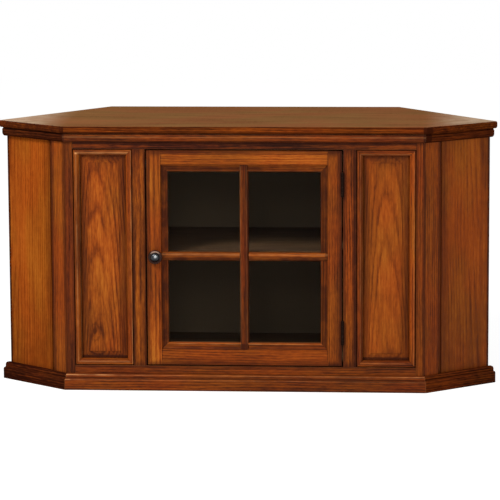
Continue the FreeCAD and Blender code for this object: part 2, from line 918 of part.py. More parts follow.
def make_leaf(name, hand, taken):
    """One leaf; hand 1 lies on the stile, -1 on the door. Taken knuckles are the other leaf's."""
    body = new_body(name)
    clear = cell.knuckle_radius + cell.knuckle_clearance
    bore = cell.hinge_pin_radius + cell.pin_clearance
    near = cell.leaf_gap / 2
    plate = box_plan(near * hand, (near + leaf_thick) * hand, bore, clear + cell.leaf_depth)
    pad(body, outline(body, "Plate", "XY_Plane", plate), cell.hinge_length)
    barrel = rounds(body, "Barrel", "XY_Plane", [(zero, zero)], cell.knuckle_radius)
    pad(body, barrel, cell.hinge_length)
    pitch = cell.hinge_length / hinge_knuckle_count
    for knuckle in taken:
        gap = cell.knuckle_end_gap / 2
        low = pitch * knuckle - (gap if knuckle else cell.cut_overrun)
        high = pitch * (knuckle + 1)
        high = high + (gap if knuckle < hinge_knuckle_count - 1 else cell.cut_overrun)
        corners = box_plan(-clear, clear, low, high)
        notch = outline(body, f"Notch{knuckle}", "XZ_Plane", corners, offset=clear)
        pocket_deep(body, notch, clear * 2)
    hole = rounds(body, "PinBore", "XY_Plane", [(zero, zero)], bore)
    pocket_through(body, hole)
    return body


def make_hinge_screws(label, hand):
    """Countersunk screws of both hinges on one side, heads flush with the leaf."""
    screws = []
    turn = FreeCAD.Rotation(FreeCAD.Vector(0, 1, 0), quarter_turn * hand)
    middle = hinge_axis_y + cell.knuckle_radius + cell.leaf_depth / 2
    for end, foot in hinge_feet.items():
        for number in range(hinge_screw_count):
            rise = cell.hinge_length * (2 * number + 1) / (2 * hinge_screw_count)
            name = f"{label}_{end}_{number + 1}"
            head = document.addObject("Part::Cone", f"{name}_head")
            head.setExpression("Radius1", cell.hinge_screw_head_radius.formula)
            head.setExpression("Radius2", cell.hinge_screw_radius.formula)
            head.setExpression("Height", leaf_thick.formula)
            shank = round_bar(f"{name}_shank", cell.hinge_screw_radius, cell.hinge_screw_length)
            screw = document.addObject("Part::Fuse", name)
            screw.Base = head
            screw.Tool = shank
            place(screw, hinge_axis_x + cell.leaf_gap / 2 * hand, middle, foot + rise, turn)
            screws.append(screw)
    return group(label, screws)


def make_hinge_pins():
    pins = []
    for end, foot in hinge_feet.items():
        pin = round_bar(f"hinge_pin_{end}_shank", cell.hinge_pin_radius, cell.hinge_length)
        tip = document.addObject("Part::Cone", f"hinge_pin_{end}_tip")
        tip.setExpression("Radius1", cell.pin_tip_radius.formula)
        tip.setExpression("Radius2", cell.hinge_pin_radius.formula)
        tip.setExpression("Height", cell.pin_tip_height.formula)
        place(tip, up=cell.hinge_length)
        whole = document.addObject("Part::Fuse", f"hinge_pin_{end}")
        whole.Base = pin
        whole.Tool = tip
        place(whole, hinge_axis_x, hinge_axis_y, foot)
        pins.append(whole)
    group("hinge_pins", pins)


def make_hinges(door_stile):
    stile_plan = box_plan(half_opening, panel_inner_x, face_y, frame_back)
    stile = prism("hinge_stile", stile_plan, cell.base_rail_top, frieze_low)
    knuckles = range(hinge_knuckle_count)
    sides = (
        ("fixed", 1, [k for k in knuckles if k % 2], stile, "hinge_stile"),
        ("swing", -1, [k for k in knuckles if not k % 2], door_stile, "door_stile_hinge"),
    )
    for side, hand, taken, member, member_name in sides:
        screws = make_hinge_screws(f"hinge_screws_{side}", hand)
        bored(member_name, member, screws)
        for end, foot in hinge_feet.items():
            label = f"hinge_{end}_{side}_leaf"
            leaf = make_leaf(label, hand, taken)
            place(leaf, hinge_axis_x, hinge_axis_y, foot)
            bored(label, leaf, screws)
    make_hinge_pins()


# Magnetic catch

def make_catch():
    middle = door_high - cell.catch_drop
    low = middle - cell.catch_height / 2
    high = middle + cell.catch_height / 2
    plate_back = face_y + cell.door_thick + cell.strike_plate_thick
    start = plate_back + cell.catch_gap
    plan = box_plan(-partition_inner, cell.catch_width - partition_inner,
                    start, start + cell.catch_depth)
    body = prism("catch_magnet", plan, low, high)
    inner = (cell.catch_width - partition_inner).value
    fillet(body, body.Tip, cell.catch_round, edge_through("y", ("x", inner)))
    keep("catch_magnet", body)
    plate = box_plan(
        cell.strike_plate_margin - door_half,
        cell.strike_plate_margin + cell.strike_plate_width - door_half,
        face_y + cell.door_thick,
        plate_back,
    )
    keep("catch_plate", prism("catch_plate", plate, low, high))


# Shelf

shelf_low = bar_middle - cell.shelf_thick / 2
pin_height = shelf_low - cell.shelf_pin_radius
pin_depths = (frame_back + cell.shelf_pin_inset, rear_inner - cell.shelf_pin_inset)


def make_shelf():
    half = partition_inner - cell.shelf_side_gap
    plan = box_plan(-half, half, frame_back + cell.shelf_front_set,
                    rear_inner - cell.shelf_back_gap)
    keep("shelf", prism("shelf", plan, shelf_low, shelf_low + cell.shelf_thick))
    pins = []
    length = cell.shelf_pin_seat + cell.shelf_pin_out
    for side, hand in hands:
        turn = FreeCAD.Rotation(FreeCAD.Vector(0, 1, 0), -quarter_turn * hand)
        for number, depth in enumerate(pin_depths, start=1):
            pin = round_bar(f"shelf_pin_{side}_{number}", cell.shelf_pin_radius, length)
            place(pin, (partition_inner + cell.shelf_pin_seat) * hand, depth, pin_height, turn)
            pins.append(pin)
    group("shelf_pins", pins)


def build():
    make_top_panel()
    make_face_frame()
    make_corner_posts()
    make_sides()
    make_rear_panel()
    make_deck_and_partitions()
    make_glue_blocks()
    make_cornice()
    make_plinth()
    for side, hand in hands:
        make_raised_panel(side, hand)
    knob_stile, hinge_stile = make_door_frame()
    make_muntins(knob_stile, hinge_stile)
    make_door_glass()
    make_knob(knob_stile)
    make_hinges(hinge_stile)
    make_catch()
    make_shelf()
    document.recompute()


def check():
    for item in document.Objects:
        if "Invalid" in item.State or "Error" in item.State:
            raise RuntimeError(f"{item.Label} failed: {item.State}")
    for label, piece in pieces.items():
        if piece.Shape.isNull() or not piece.Shape.isValid() or not piece.Shape.Solids:
            raise RuntimeError(f"{label} has no valid solid")


def write():
    os.makedirs("parts", exist_ok=True)
    for label, piece in pieces.items():
        piece.Shape.exportStep(f"parts/{label}.step")
    print(f"{len(pieces)} sub-parts written")


build()
check()
write()
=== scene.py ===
import json
from math import pi, radians

import bmesh
import bpy
from mathutils import Matrix, Vector

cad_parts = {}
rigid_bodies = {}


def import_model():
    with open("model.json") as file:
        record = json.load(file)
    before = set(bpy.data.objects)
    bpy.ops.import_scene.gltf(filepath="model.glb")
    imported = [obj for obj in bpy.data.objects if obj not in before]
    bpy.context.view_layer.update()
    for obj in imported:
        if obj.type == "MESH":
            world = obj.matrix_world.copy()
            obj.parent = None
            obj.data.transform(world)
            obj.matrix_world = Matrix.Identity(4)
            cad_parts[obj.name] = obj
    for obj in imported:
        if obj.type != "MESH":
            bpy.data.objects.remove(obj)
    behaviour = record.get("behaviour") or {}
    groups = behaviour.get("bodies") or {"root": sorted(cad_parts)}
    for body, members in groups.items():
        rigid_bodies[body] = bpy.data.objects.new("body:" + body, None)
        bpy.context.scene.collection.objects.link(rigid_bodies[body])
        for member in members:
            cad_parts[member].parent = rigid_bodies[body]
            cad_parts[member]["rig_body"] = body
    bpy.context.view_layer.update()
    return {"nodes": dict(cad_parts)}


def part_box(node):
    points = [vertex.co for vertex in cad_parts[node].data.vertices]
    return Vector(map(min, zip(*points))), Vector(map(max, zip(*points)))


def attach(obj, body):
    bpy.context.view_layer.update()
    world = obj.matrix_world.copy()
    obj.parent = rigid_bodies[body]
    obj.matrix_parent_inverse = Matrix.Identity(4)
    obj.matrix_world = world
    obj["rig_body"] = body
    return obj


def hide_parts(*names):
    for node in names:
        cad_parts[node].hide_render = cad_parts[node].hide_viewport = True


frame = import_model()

nodes = frame["nodes"]
sideAngle = radians(37.5)        # cant of the side faces
turnOf = {"front": 0.0, "left": -sideAngle, "right": sideAngle}
print("frame loaded:", len(nodes), "nodes")


# Node helpers

def addNode(tree, kind, inputs=None, **settings):
    # an input that is a socket is linked, and any other becomes its socket's value
    made = tree.nodes.new("ShaderNode" + kind)
    for name, value in settings.items():
        setattr(made, name, value)
    for socket, value in (inputs or {}).items():
        if isinstance(value, bpy.types.NodeSocket):
            tree.links.new(value, made.inputs[socket])
        else:
            made.inputs[socket].default_value = value
    return made


def calc(tree, operation, first, second=0.0, third=0.0, clamp=False):
    return addNode(tree, "Math", {0: first, 1: second, 2: third}, operation=operation,
                   use_clamp=clamp).outputs[0]


def vectorCalc(tree, operation, first, second):
    return addNode(tree, "VectorMath", {0: first, 1: second}, operation=operation).outputs[0]


def remap(tree, value, low, high, newLow=0.0, newHigh=1.0, smooth=True):
    kind = "SMOOTHSTEP" if smooth else "LINEAR"
    return addNode(tree, "MapRange", {"Value": value, "From Min": low, "From Max": high,
                                      "To Min": newLow, "To Max": newHigh},
                   interpolation_type=kind).outputs[0]


def noise(tree, vector, scale, detail=2.0, roughness=0.5):
    stretched = vectorCalc(tree, "MULTIPLY", vector, scale)
    return addNode(tree, "TexNoise", {"Vector": stretched, "Scale": 1.0, "Detail": detail,
                                      "Roughness": roughness}).outputs[0]


def sway(tree, value, amount, base):
    # base plus a noise value turned round its middle
    return calc(tree, "MULTIPLY_ADD", calc(tree, "SUBTRACT", value, 0.5), amount, base)


def mixColour(tree, amount, first, second):
    # the Mix node's sockets for colours are inputs 6 and 7 and output 2
    return addNode(tree, "Mix", {0: amount, 6: first, 7: second}, data_type="RGBA").outputs[2]


def ramp(tree, value, stops):
    made = addNode(tree, "ValToRGB", {0: value})
    points = made.color_ramp.elements
    while len(points) < len(stops):
        points.new(0.5)
    for point, (position, tint) in zip(points, stops):
        point.position = position
        point.color = tint
    return made.outputs[0]


def colour(red, green, blue):
    # linear colour from 8-bit values
    def linear(level):
        level /= 255
        return level / 12.92 if level < 0.04045 else ((level + 0.055) / 1.055) ** 2.4
    return (linear(red), linear(green), linear(blue), 1.0)


def newGroup(name, inputs, outputs):
    group = bpy.data.node_groups.new(name, "ShaderNodeTree")
    for label, kind in inputs:
        group.interface.new_socket(label, in_out="INPUT", socket_type="NodeSocket" + kind)
    for label, kind in outputs:
        group.interface.new_socket(label, in_out="OUTPUT", socket_type="NodeSocket" + kind)
    given = group.nodes.new("NodeGroupInput").outputs
    result = group.nodes.new("NodeGroupOutput").inputs
    return group, given, result


def newMaterial(name):
    made = bpy.data.materials.new(name)
    made.use_nodes = True
    made.node_tree.nodes.clear()
    return made, made.node_tree


def layOver(tree, base, tint, amount, share):
    return mixColour(tree, calc(tree, "MULTIPLY", amount, share), base, tint)


def bumpOf(tree, height, distance):
    made = addNode(tree, "Bump", {"Height": height, "Strength": 1.0, "Distance": distance})
    return made.outputs[0]


def mixShaders(tree, amount, first, second):
    return addNode(tree, "MixShader", {0: amount, 1: first.outputs[0], 2: second.outputs[0]})


def finishMaterial(tree, shader):
    output = addNode(tree, "OutputMaterial")
    tree.links.new(shader.outputs[0], output.inputs[0])


# Stained wood with open pores, under a burnished dark glaze that also carries painted shade, and
# with bare wear that also carries painted highlights

# a noise is its scale across, through and along the grain, its detail and its roughness;
# a span is the two values that it runs between, and then what they become
wood = {
    "ringSpacing": 0.0058,
    "wander": 0.016,             # how far the grain drifts sideways
    "drift": ((8, 8, 2.2), 2),
    "uneven": ((30, 30, 4), 1),
    "unevenRings": 0.8,
    "earlyWood": (0.46, 0.0),
    "lateWood": (0.80, 1.0),
    "lateShare": 0.75,
    "ringPatches": ((40, 40, 7), 2),
    "ringPatchSpan": (0.36, 0.64, 0.25, 1.0),
    "streak": ((170, 170, 5), 3, 0.6),
    "dash": ((330, 330, 60), 2, 0.6),
    "fibre": ((460, 460, 26), 2, 0.6),
    "cloud": ((10, 10, 3.0), 2),
    "streakContrast": 0.50,
    "dashContrast": 0.42,
    "fibreContrast": 0.42,
    "cloudContrast": 0.60,
    "ringContrast": 0.26,
    "tintPatches": ((13, 13, 5), 2),
    "tintSpan": (0.36, 0.64),
    "pores": ((2400, 2400, 70), 1),
    "poreSpan": (0.57, 0.66),
    "poresInGrain": (0.0, 0.8, 0.3, 1.0),
    "poreShare": 0.42,
    "fleckScale": 34.0,
    "fleckSpan": (0.040, 0.018),
    "fleckRare": (0.74, 0.78),
    "fleckShare": 0.6,
    "glazeAndShadeStreaks": -0.55,
    "glazeAndShadeOnset": (0.0, 0.12),
    "glazeAndShadeShare": 0.92,
    "markBreakup": ((60, 60, 30), 3),
    "markBreakupSpan": (0.30, 0.62),
    "smudge": ((24, 24, 14), 3),
    "smudgeRoughness": 0.16,
    "poreRoughness": 0.14,
    "peel": ((420, 420, 260), 1),
    "relief": {"pores": -0.7, "grain": -0.25, "fibre": 0.3, "peel": 0.25},
    # a dark glaze colour that also serves as painted shade in recesses, in gaps, under overhangs
    # and on faces turned from the light
    "glazeAndShade": colour(50, 19, 8),
    "redder": (1.06, 0.96, 0.94, 1.0),
    "golden": (0.97, 1.07, 0.98, 1.0),
    "pore": colour(44, 15, 6),
    "fleck": colour(34, 12, 6),
    "wearAndHighlight": colour(200, 138, 84),
    "markKept": 0.25,             # least share of a mark of wear and painted highlight that stays
    "roughness": 0.38,
    "specular": 0.05,
    "bump": 0.0003,
    "stain": (
        (0.0, colour(38, 14, 7)),
        (0.16, colour(70, 29, 12)),
        (0.38, colour(108, 48, 14)),
        (0.58, colour(139, 66, 17)),
        (0.82, colour(168, 92, 28)),
    ),
}

topWood = {
    # on the top this colour paints only a sheen towards its ends
    "wearAndHighlight": colour(214, 188, 160),
    "markKept": 0.80,
    "stain": (
        (0.16, colour(124, 82, 50)),
        (0.38, colour(133, 88, 54)),
        (0.58, colour(142, 94, 58)),
        (0.82, colour(150, 101, 63)),
    ),
    "roughness": 0.62,
    "specular": 0.0,
    "blend": 0.0006,             # height over which the edge's finish gives way to the top's
}

seedShift = (1.7, 2.3, 3.1)      # how far a board's wood moves for each unit of its seed


def makeWoodGroup(name, settings):
    group, given, result = newGroup(
        name,
        [("Vector", "Vector"), ("Pith", "Vector"), ("Seed", "Float"), ("Tone", "Float"),
         ("Figure", "Float"), ("GlazeAndPaintedShade", "Float"), ("WearAndPaintedHighlight", "Float")],
        [("Color", "Color"), ("Roughness", "Float"), ("Height", "Float")])
    seeds = addNode(group, "CombineXYZ", {axis: given["Seed"] for axis in range(3)}).outputs[0]
    shifted = vectorCalc(group, "MULTIPLY", seeds, seedShift)
    place = vectorCalc(group, "ADD", given["Vector"], shifted)
    here = addNode(group, "SeparateXYZ", {0: given["Vector"]}).outputs
    pith = addNode(group, "SeparateXYZ", {0: given["Pith"]}).outputs
    drift = calc(group, "SUBTRACT", noise(group, place, *wood["drift"]), 0.5)
    drift = calc(group, "MULTIPLY_ADD", drift, wood["wander"], pith[0])
    across = calc(group, "ADD", here[0], drift)
    deep = calc(group, "ADD", here[1], calc(group, "MULTIPLY_ADD", here[2], pith[2], pith[1]))
    reach = calc(group, "SQRT", calc(group, "ADD", calc(group, "MULTIPLY", across, across),
                                     calc(group, "MULTIPLY", deep, deep)))
    uneven = calc(group, "MULTIPLY", noise(group, place, *wood["uneven"]), wood["unevenRings"])
    ring = calc(group, "FRACT", calc(group, "MULTIPLY_ADD", reach, 1 / wood["ringSpacing"], uneven))
    early = remap(group, ring, *wood["earlyWood"])
    late = calc(group, "MULTIPLY", remap(group, ring, *wood["lateWood"]), wood["lateShare"])
    presence = remap(group, noise(group, place, *wood["ringPatches"]), *wood["ringPatchSpan"])
    grainLine = calc(group, "MULTIPLY", calc(group, "MAXIMUM", early, late), presence)
    streak, dash, fibre, cloud = (noise(group, place, *wood[layer])
                                  for layer in ("streak", "dash", "fibre", "cloud"))
    figure = sway(group, streak, wood["streakContrast"], 0.0)
    figure = sway(group, dash, wood["dashContrast"], figure)
    figure = sway(group, fibre, wood["fibreContrast"], figure)
    figure = sway(group, cloud, wood["cloudContrast"], figure)
    figure = calc(group, "MULTIPLY_ADD", grainLine, -wood["ringContrast"], figure)
    tone = calc(group, "MULTIPLY_ADD", figure, given["Figure"], given["Tone"])
    stained = ramp(group, tone, settings["stain"])
    patches = remap(group, noise(group, place, *wood["tintPatches"]), *wood["tintSpan"])
    patches = mixColour(group, patches, wood["redder"], wood["golden"])
    stained = vectorCalc(group, "MULTIPLY", stained, patches)
    pores = remap(group, noise(group, place, *wood["pores"]), *wood["poreSpan"])
    pores = calc(group, "MULTIPLY", pores, remap(group, grainLine, *wood["poresInGrain"]))
    stained = layOver(group, stained, wood["pore"], pores, wood["poreShare"])
    dots = addNode(group, "TexVoronoi", {"Vector": place, "Scale": wood["fleckScale"]},
                   feature="F1")
    rare = addNode(group, "SeparateColor", {0: dots.outputs["Color"]}).outputs[0]
    fleck = calc(group, "MULTIPLY", remap(group, dots.outputs["Distance"], *wood["fleckSpan"]),
                 remap(group, rare, *wood["fleckRare"]))
    stained = layOver(group, stained, wood["fleck"], fleck, wood["fleckShare"])
    # the share of glaze and painted shade, broken up by the grain's streaks
    glazeShadeAndHighlight = sway(group, streak, wood["glazeAndShadeStreaks"], given["GlazeAndPaintedShade"])
    onset = remap(group, given["GlazeAndPaintedShade"], *wood["glazeAndShadeOnset"])
    glazeShadeAndHighlight = calc(group, "MULTIPLY", glazeShadeAndHighlight, onset, clamp=True)
    stained = layOver(group, stained, wood["glazeAndShade"], glazeShadeAndHighlight, wood["glazeAndShadeShare"])
    markKept = remap(group, noise(group, place, *wood["markBreakup"]), *wood["markBreakupSpan"],
                    settings["markKept"], 1.0)
    # bare wood where worn, which also serves as painted highlight on crests, arrises and the top's
    # ends
    wearAndHighlightShare = calc(group, "MULTIPLY", given["WearAndPaintedHighlight"], markKept, clamp=True)
    stained = mixColour(group, wearAndHighlightShare, stained, settings["wearAndHighlight"])
    group.links.new(stained, result["Color"])
    smudge = noise(group, place, *wood["smudge"])
    rough = sway(group, smudge, wood["smudgeRoughness"], wood["roughness"])
    rough = calc(group, "MULTIPLY_ADD", pores, wood["poreRoughness"], rough)
    group.links.new(rough, result["Roughness"])
    relief = wood["relief"]
    height = calc(group, "MULTIPLY", pores, relief["pores"])
    height = calc(group, "MULTIPLY_ADD", grainLine, relief["grain"], height)
    height = calc(group, "MULTIPLY_ADD", fibre, relief["fibre"], height)
    height = calc(group, "MULTIPLY_ADD", noise(group, place, *wood["peel"]), relief["peel"], height)
    group.links.new(height, result["Height"])
    return group


# Dark glaze along a board's edges, and a darkening down into its recesses that is partly glaze and
# partly painted shade

glazeAndShadeSettings = {
    "never": 9.0,                # a depth that neither glaze nor painted shade reaches
    "outside": 1.0,              # an edge with no glaze is moved this far out
    "noReach": 0.01,             # stands in for its reach
    "strength": 0.75,
    "ragged": ((26, 26, 26), 3),
    "raggedShare": 0.7,
    "broken": ((34, 34, 34), 3),
    "brokenSpan": (0.30, 0.62, 0.62, 1.0),
}


def makeGlazeAndShadeGroup():
    group, given, result = newGroup(
        "edgeGlazeAndShade",
        [("Vector", "Vector"), ("Low", "Vector"), ("High", "Vector"), ("Near", "Vector"),
         ("Far", "Vector"), ("Shallow", "Float"), ("Deep", "Float"), ("Strength", "Float"),
         ("Sunken", "Float")],
        [("GlazeAndPaintedShade", "Float")])
    below = vectorCalc(group, "SUBTRACT", given["Vector"], given["Low"])
    below = vectorCalc(group, "DIVIDE", below, given["Near"])
    above = vectorCalc(group, "SUBTRACT", given["High"], given["Vector"])
    above = vectorCalc(group, "DIVIDE", above, given["Far"])
    nearest = addNode(group, "SeparateXYZ", {0: vectorCalc(group, "MINIMUM", below, above)}).outputs
    share = calc(group, "MINIMUM", nearest[0], nearest[2])
    ragged = noise(group, given["Vector"], *glazeAndShadeSettings["ragged"])
    share = sway(group, ragged, glazeAndShadeSettings["raggedShare"], share)
    edge = calc(group, "MULTIPLY", remap(group, share, 1.0, 0.0), given["Strength"])
    # darkening by depth into recesses: partly glaze, partly painted shade
    depth = addNode(group, "SeparateXYZ", {0: given["Vector"]}).outputs[1]
    sunk = remap(group, depth, given["Shallow"], given["Deep"], 0.0, given["Sunken"])
    group.links.new(calc(group, "MAXIMUM", edge, sunk), result["GlazeAndPaintedShade"])
    return group


woodGroup = makeWoodGroup("burnishedWood", wood)
topGroup = makeWoodGroup("waxedTop", topWood)
glazeAndShadeGroup = makeGlazeAndShadeGroup()
grainOrder = {"upright": (0, 1, 2), "level": (2, 1, 0), "flat": (1, 2, 0)}
seedStep = 0.37                  # between the seeds of boards that name none


def turnedBox(name, turn):
    # lowest and highest corner of a node, its face turned to the front
    back = Matrix.Rotation(-turn, 3, "Z")
    places = [back @ vertex.co for vertex in nodes[name].data.vertices]
    return ([min(place[axis] for place in places) for axis in range(3)],
            [max(place[axis] for place in places) for axis in range(3)])


def stretchOf(tree, axes, axis, start, end, feather):
    # one between two places on an axis, with soft ends
    away = calc(tree, "ABSOLUTE", calc(tree, "SUBTRACT", axes["XYZ"[axis]], (start + end) / 2))
    half = (end - start) / 2
    return remap(tree, away, half + feather, half)


def bandOf(tree, place, bands):
    # soft bands: axis, from, to, feather and amount, then any stretches that each keeps within,
    # as axis, from, to and feather
    total = 0.0
    if bands:
        axes = addNode(tree, "SeparateXYZ", {0: place}).outputs
        broken = remap(tree, noise(tree, place, *glazeAndShadeSettings["broken"]), *glazeAndShadeSettings["brokenSpan"])
    for axis, start, end, feather, amount, *within in bands:
        band = calc(tree, "MULTIPLY", stretchOf(tree, axes, axis, start, end, feather), amount)
        for limit in within:
            band = calc(tree, "MULTIPLY", band, stretchOf(tree, axes, *limit))
        total = calc(tree, "MAXIMUM", total, calc(tree, "MULTIPLY", band, broken))
    return total


# lengths are shares of the knot's size
knotWood = {
    "squash": 0.62,              # its width over its height
    "waver": ((120, 120, 90), 2),
    "waverShare": 0.5,
    "ringTurns": 12.0,
    "ringSpan": (-0.2, 0.9, 0.05, 0.55),
    "ringFade": (1.0, 0.4),
    "core": (0.26, 0.08),
    "coreAmount": 0.65,
}


def knotOf(tree, place, centre, size):
    # a small knot with rings round it
    axes = addNode(tree, "SeparateXYZ", {0: place}).outputs
    across = calc(tree, "SUBTRACT", axes[0], centre[0])
    along = calc(tree, "MULTIPLY", calc(tree, "SUBTRACT", axes[2], centre[1]), knotWood["squash"])
    reach = calc(tree, "SQRT", calc(tree, "ADD", calc(tree, "MULTIPLY", across, across),
                                    calc(tree, "MULTIPLY", along, along)))
    reach = sway(tree, noise(tree, place, *knotWood["waver"]), size * knotWood["waverShare"], reach)
    rings = calc(tree, "SINE", calc(tree, "MULTIPLY", reach, knotWood["ringTurns"] / size))
    rings = remap(tree, rings, *knotWood["ringSpan"])
    fade = remap(tree, reach, *(size * share for share in knotWood["ringFade"]))
    core = remap(tree, reach, *(size * share for share in knotWood["core"]))
    core = calc(tree, "MULTIPLY", core, knotWood["coreAmount"])
    return calc(tree, "MAXIMUM", core, calc(tree, "MULTIPLY", rings, fade))


def glazeAndShadeOf(tree, place, name, settings):
    low, high = turnedBox(name, turnOf[settings.get("face", "front")])
    left, right, bottom, top = settings.get("edges", (0, 0, 0, 0))
    shallow, deep, sunken = settings.get("recess", (glazeAndShadeSettings["never"], glazeAndShadeSettings["never"] + 1, 0.0))
    outside, noReach = glazeAndShadeSettings["outside"], glazeAndShadeSettings["noReach"]
    inputs = {
        "Vector": place,
        "Low": (low[0] - (0 if left else outside), 0, low[2] - (0 if bottom else outside)),
        "High": (high[0] + (0 if right else outside), 0, high[2] + (0 if top else outside)),
        "Near": (left or noReach, 1, bottom or noReach),
        "Far": (right or noReach, 1, top or noReach),
        "Shallow": shallow,
        "Deep": deep,
        "Sunken": sunken,
        "Strength": settings.get("strength", glazeAndShadeSettings["strength"]),
    }
    return addNode(tree, "Group", inputs, node_tree=glazeAndShadeGroup).outputs[0]


def alongGrain(tree, place, grain):
    # the place with its axes put in the wood's order: across, through and along
    axes = addNode(tree, "SeparateXYZ", {0: place}).outputs
    order = enumerate(grainOrder[grain])
    return addNode(tree, "CombineXYZ", {slot: axes[axis] for slot, axis in order}).outputs[0]


def woodOf(tree, place, group, settings, glazeAndShade, wearAndHighlight):
    inputs = {
        "Vector": alongGrain(tree, place, settings.get("grain", "upright")),
        "GlazeAndPaintedShade": glazeAndShade,
        "WearAndPaintedHighlight": wearAndHighlight,
        "Pith": settings.get("pith", (0.35, 0.4, 0.0)),
        "Seed": settings.get("seed", len(bpy.data.materials) * seedStep),
        "Tone": settings["tone"],
        "Figure": settings.get("figure", 1.0),
    }
    return addNode(tree, "Group", inputs, node_tree=group).outputs


def objectPlace(tree, face="front"):
    place = addNode(tree, "TexCoord").outputs["Object"]
    if turnOf[face]:
        place = addNode(tree, "VectorRotate", {"Vector": place, "Angle": -turnOf[face]},
                        rotation_type="Z_AXIS").outputs[0]
    return place


def makeWood(name, settings):
    # a board's own wood: its grain, its place in the log, its glazed edges and painted shade, its
    # worn edges and painted highlights
    made, tree = newMaterial(name)
    place = objectPlace(tree, settings.get("face", "front"))
    glazeAndShade = glazeAndShadeOf(tree, place, name, settings)
    glazeAndShade = calc(tree, "MAXIMUM", glazeAndShade, bandOf(tree, place, settings.get("dark", ())))
    if "knot" in settings:
        glazeAndShade = calc(tree, "MAXIMUM", glazeAndShade, knotOf(tree, place, *settings["knot"]))
    # bevelled arrises show bare wood, which also stands in for their highlights
    arris = addNode(tree, "Attribute", attribute_name="arris").outputs["Fac"]
    wearAndHighlight = calc(tree, "MULTIPLY", arris, settings.get("arrisWearAndHighlight", 0.35))
    wearAndHighlight = calc(tree, "MAXIMUM", wearAndHighlight, bandOf(tree, place, settings.get("wearAndHighlight", ())))
    body = woodOf(tree, place, woodGroup, settings, glazeAndShade, wearAndHighlight)
    tint, rough, relief = body["Color"], body["Roughness"], body["Height"]
    if "upperFace" in settings:
        height = addNode(tree, "SeparateXYZ", {0: place}).outputs[2]
        lid = woodOf(tree, place, topGroup, settings, 0.0, bandOf(tree, place, settings["sheen"]))
        upper = remap(tree, height, settings["upperFace"] - topWood["blend"], settings["upperFace"])
        tint = mixColour(tree, upper, tint, lid["Color"])
        rough = sway(tree, upper, topWood["roughness"] - wood["roughness"], rough)
    finishMaterial(tree, addNode(tree, "BsdfPrincipled", {
        "Base Color": tint,
        "Roughness": rough,
        "Normal": bumpOf(tree, relief, wood["bump"]),
        "Specular IOR Level": settings.get("specular", wood["specular"]),
    }))
    return made


# Boards: a copy of the node with softened arrises

softening = {
    "width": 0.0009,
    "segments": 2,
    "bevelFrom": radians(28),    # least angle between two faces that counts as an arris
    "smoothTo": radians(40),
    "flatTo": radians(0.6),
    "mergeWithin": 2e-6,
}


def softened(name, width=softening["width"]):
    shape = bmesh.new()
    shape.from_mesh(nodes[name].data)
    bmesh.ops.remove_doubles(shape, verts=shape.verts, dist=softening["mergeWithin"])
    bmesh.ops.dissolve_limit(shape, angle_limit=softening["flatTo"], verts=shape.verts,
                             edges=shape.edges, use_dissolve_boundaries=False, delimit=set())
    sharp = [edge for edge in shape.edges
             if len(edge.link_faces) == 2 and edge.calc_face_angle(0.0) > softening["bevelFrom"]]
    arris = shape.faces.layers.float.new("arris")
    cut = bmesh.ops.bevel(shape, geom=sharp, offset=width, offset_type="OFFSET",
                          segments=softening["segments"], profile=0.5, affect="EDGES", material=-1,
                          clamp_overlap=True)
    for face in cut["faces"]:
        face[arris] = 1.0
    for face in shape.faces:
        face.smooth = True
    mesh = bpy.data.meshes.new(name)
    shape.to_mesh(mesh)
    shape.free()
    mesh.set_sharp_from_angle(angle=softening["smoothTo"])
    piece = bpy.data.objects.new(name + "_board", mesh)
    bpy.context.scene.collection.objects.link(piece)
    weighted = piece.modifiers.new("faceWeights", "WEIGHTED_NORMAL")
    weighted.keep_sharp = True
    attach(piece, nodes[name]["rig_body"])
    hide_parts(name)
    return piece


def dress(piece, material):
    piece.data.materials.clear()
    piece.data.materials.append(material)


# Places on the stand that the boards' marks are set from

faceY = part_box("frieze_rail")[0].y
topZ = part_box("top_panel")[1].z
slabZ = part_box("top_panel")[0].z
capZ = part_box("plinth_front")[1].z
plinthZ = 0.027                  # where the plinth's cap moulding starts
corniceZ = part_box("cornice_front")[0].z
cornerX = 0.4242                 # where the front of the top meets its sides
glassLow, glassHigh = 0.1125, 0.5177
glassX = 0.1785                  # half the glazed width

# recesses: the depths where the glaze and painted shade start and are full, and their amount there;
# the painted shade darkens rounds and slopes turned from the light
muntinRound = (faceY + 0.0045, faceY + 0.0110, 0.80)
panelBevel = (faceY + 0.0056, faceY + 0.0110, 0.62)
mouldingSlope = (faceY + 0.0050, faceY + 0.0122, 0.50)
topSlope = (faceY + 0.0078, faceY + 0.0135, 0.62)


def line(axis, centre, half, amount, *within):
    # a band with no width but its feather
    return (axis, centre, centre, half, amount, *within)


def outward(axis, edge, sign, lines):
    # bands counted outward from an edge: (from, to, feather, amount)
    return [(axis, *sorted((edge + sign * start, edge + sign * end)), feather, amount)
            for start, end, feather, amount in lines]


# painted shade in the coves of the door's sticking beside the glass
stickingLeft = outward(0, -glassX, -1, [(0.0, 0.0042, 0.002, 1.0), (0.0042, 0.0140, 0.0035, 1.1)])
stickingRight = outward(0, glassX, 1, [(0.0, 0.0110, 0.002, 0.88), (0.0110, 0.0145, 0.0035, 1.0)])
stickingTop = outward(2, glassHigh, 1, [(0.0, 0.0040, 0.002, 0.72), (0.0060, 0.0092, 0.0015, 0.90),
                                        (0.0092, 0.0170, 0.003, 0.45)])
stickingBottom = outward(2, glassLow, -1, [(0.0055, 0.0120, 0.002, 0.48),
                                           (0.0132, 0.0152, 0.0018, 0.85)])
# a painted highlight along the bead's crest
beadHighlight = [(0.0030, 0.0040, 0.0016, 0.40)]
